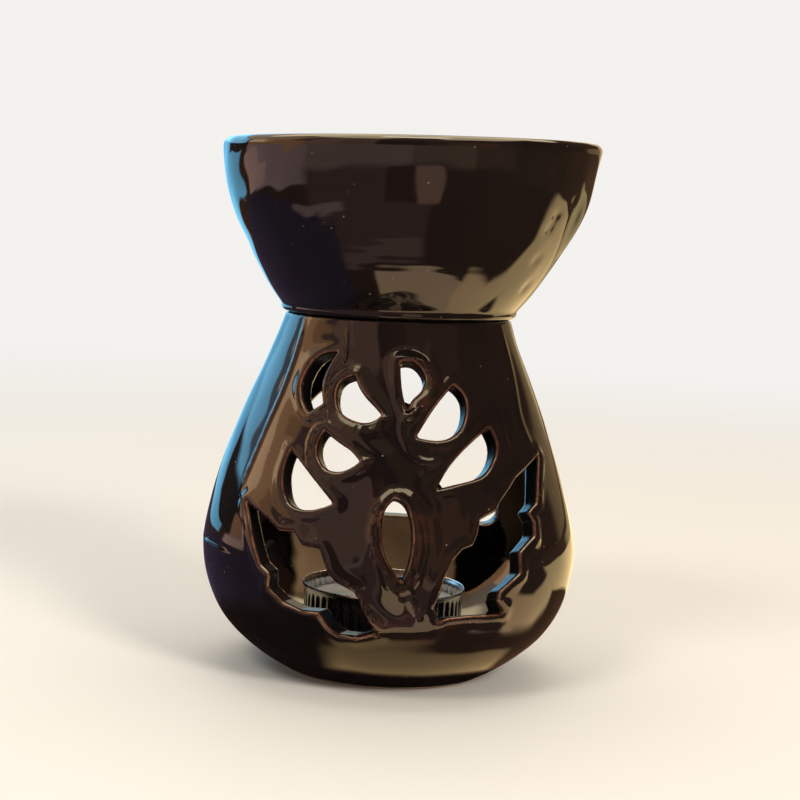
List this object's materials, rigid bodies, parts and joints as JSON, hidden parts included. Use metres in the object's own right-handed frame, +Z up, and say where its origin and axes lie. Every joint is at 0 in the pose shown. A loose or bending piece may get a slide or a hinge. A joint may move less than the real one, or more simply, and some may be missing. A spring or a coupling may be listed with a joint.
{
  "type": "essential oil burner",
  "caption": "Dark glazed pottery oil burner: a pierced pear-shaped chamber with leaf cut-outs and a rear arch, a dish on its neck and a tea light inside.",
  "frame": {"origin": "centre of the foot, on the surface that the burner stands on", "axes": "+Z up through the neck and the dish, -Y towards the pierced front, +Y towards the arched opening at the back"},
  "size_m": [0.088, 0.088, 0.125],
  "materials": {
    "glaze": "gloss black-brown glaze, breaking to copper brown on the cut edges",
    "cup_foil": "bright pressed foil",
    "wax": "white paraffin wax",
    "wick": "waxed braided cotton",
    "sustainer": "tinned steel"
  },
  "bodies": {
    "root": {"burner_body": "glaze", "oil_bowl": "glaze"},
    "tealight": {"tealight_cup": "cup_foil", "tealight_wax": "wax", "wick": "wick", "wick_sustainer": "sustainer"}
  },
  "joints": [
    {"name": "tealight_lift", "type": "slide", "parent": "root", "child": "tealight", "axis": [0, 0, 1], "range_m": [0, 0.026]}
  ]
}
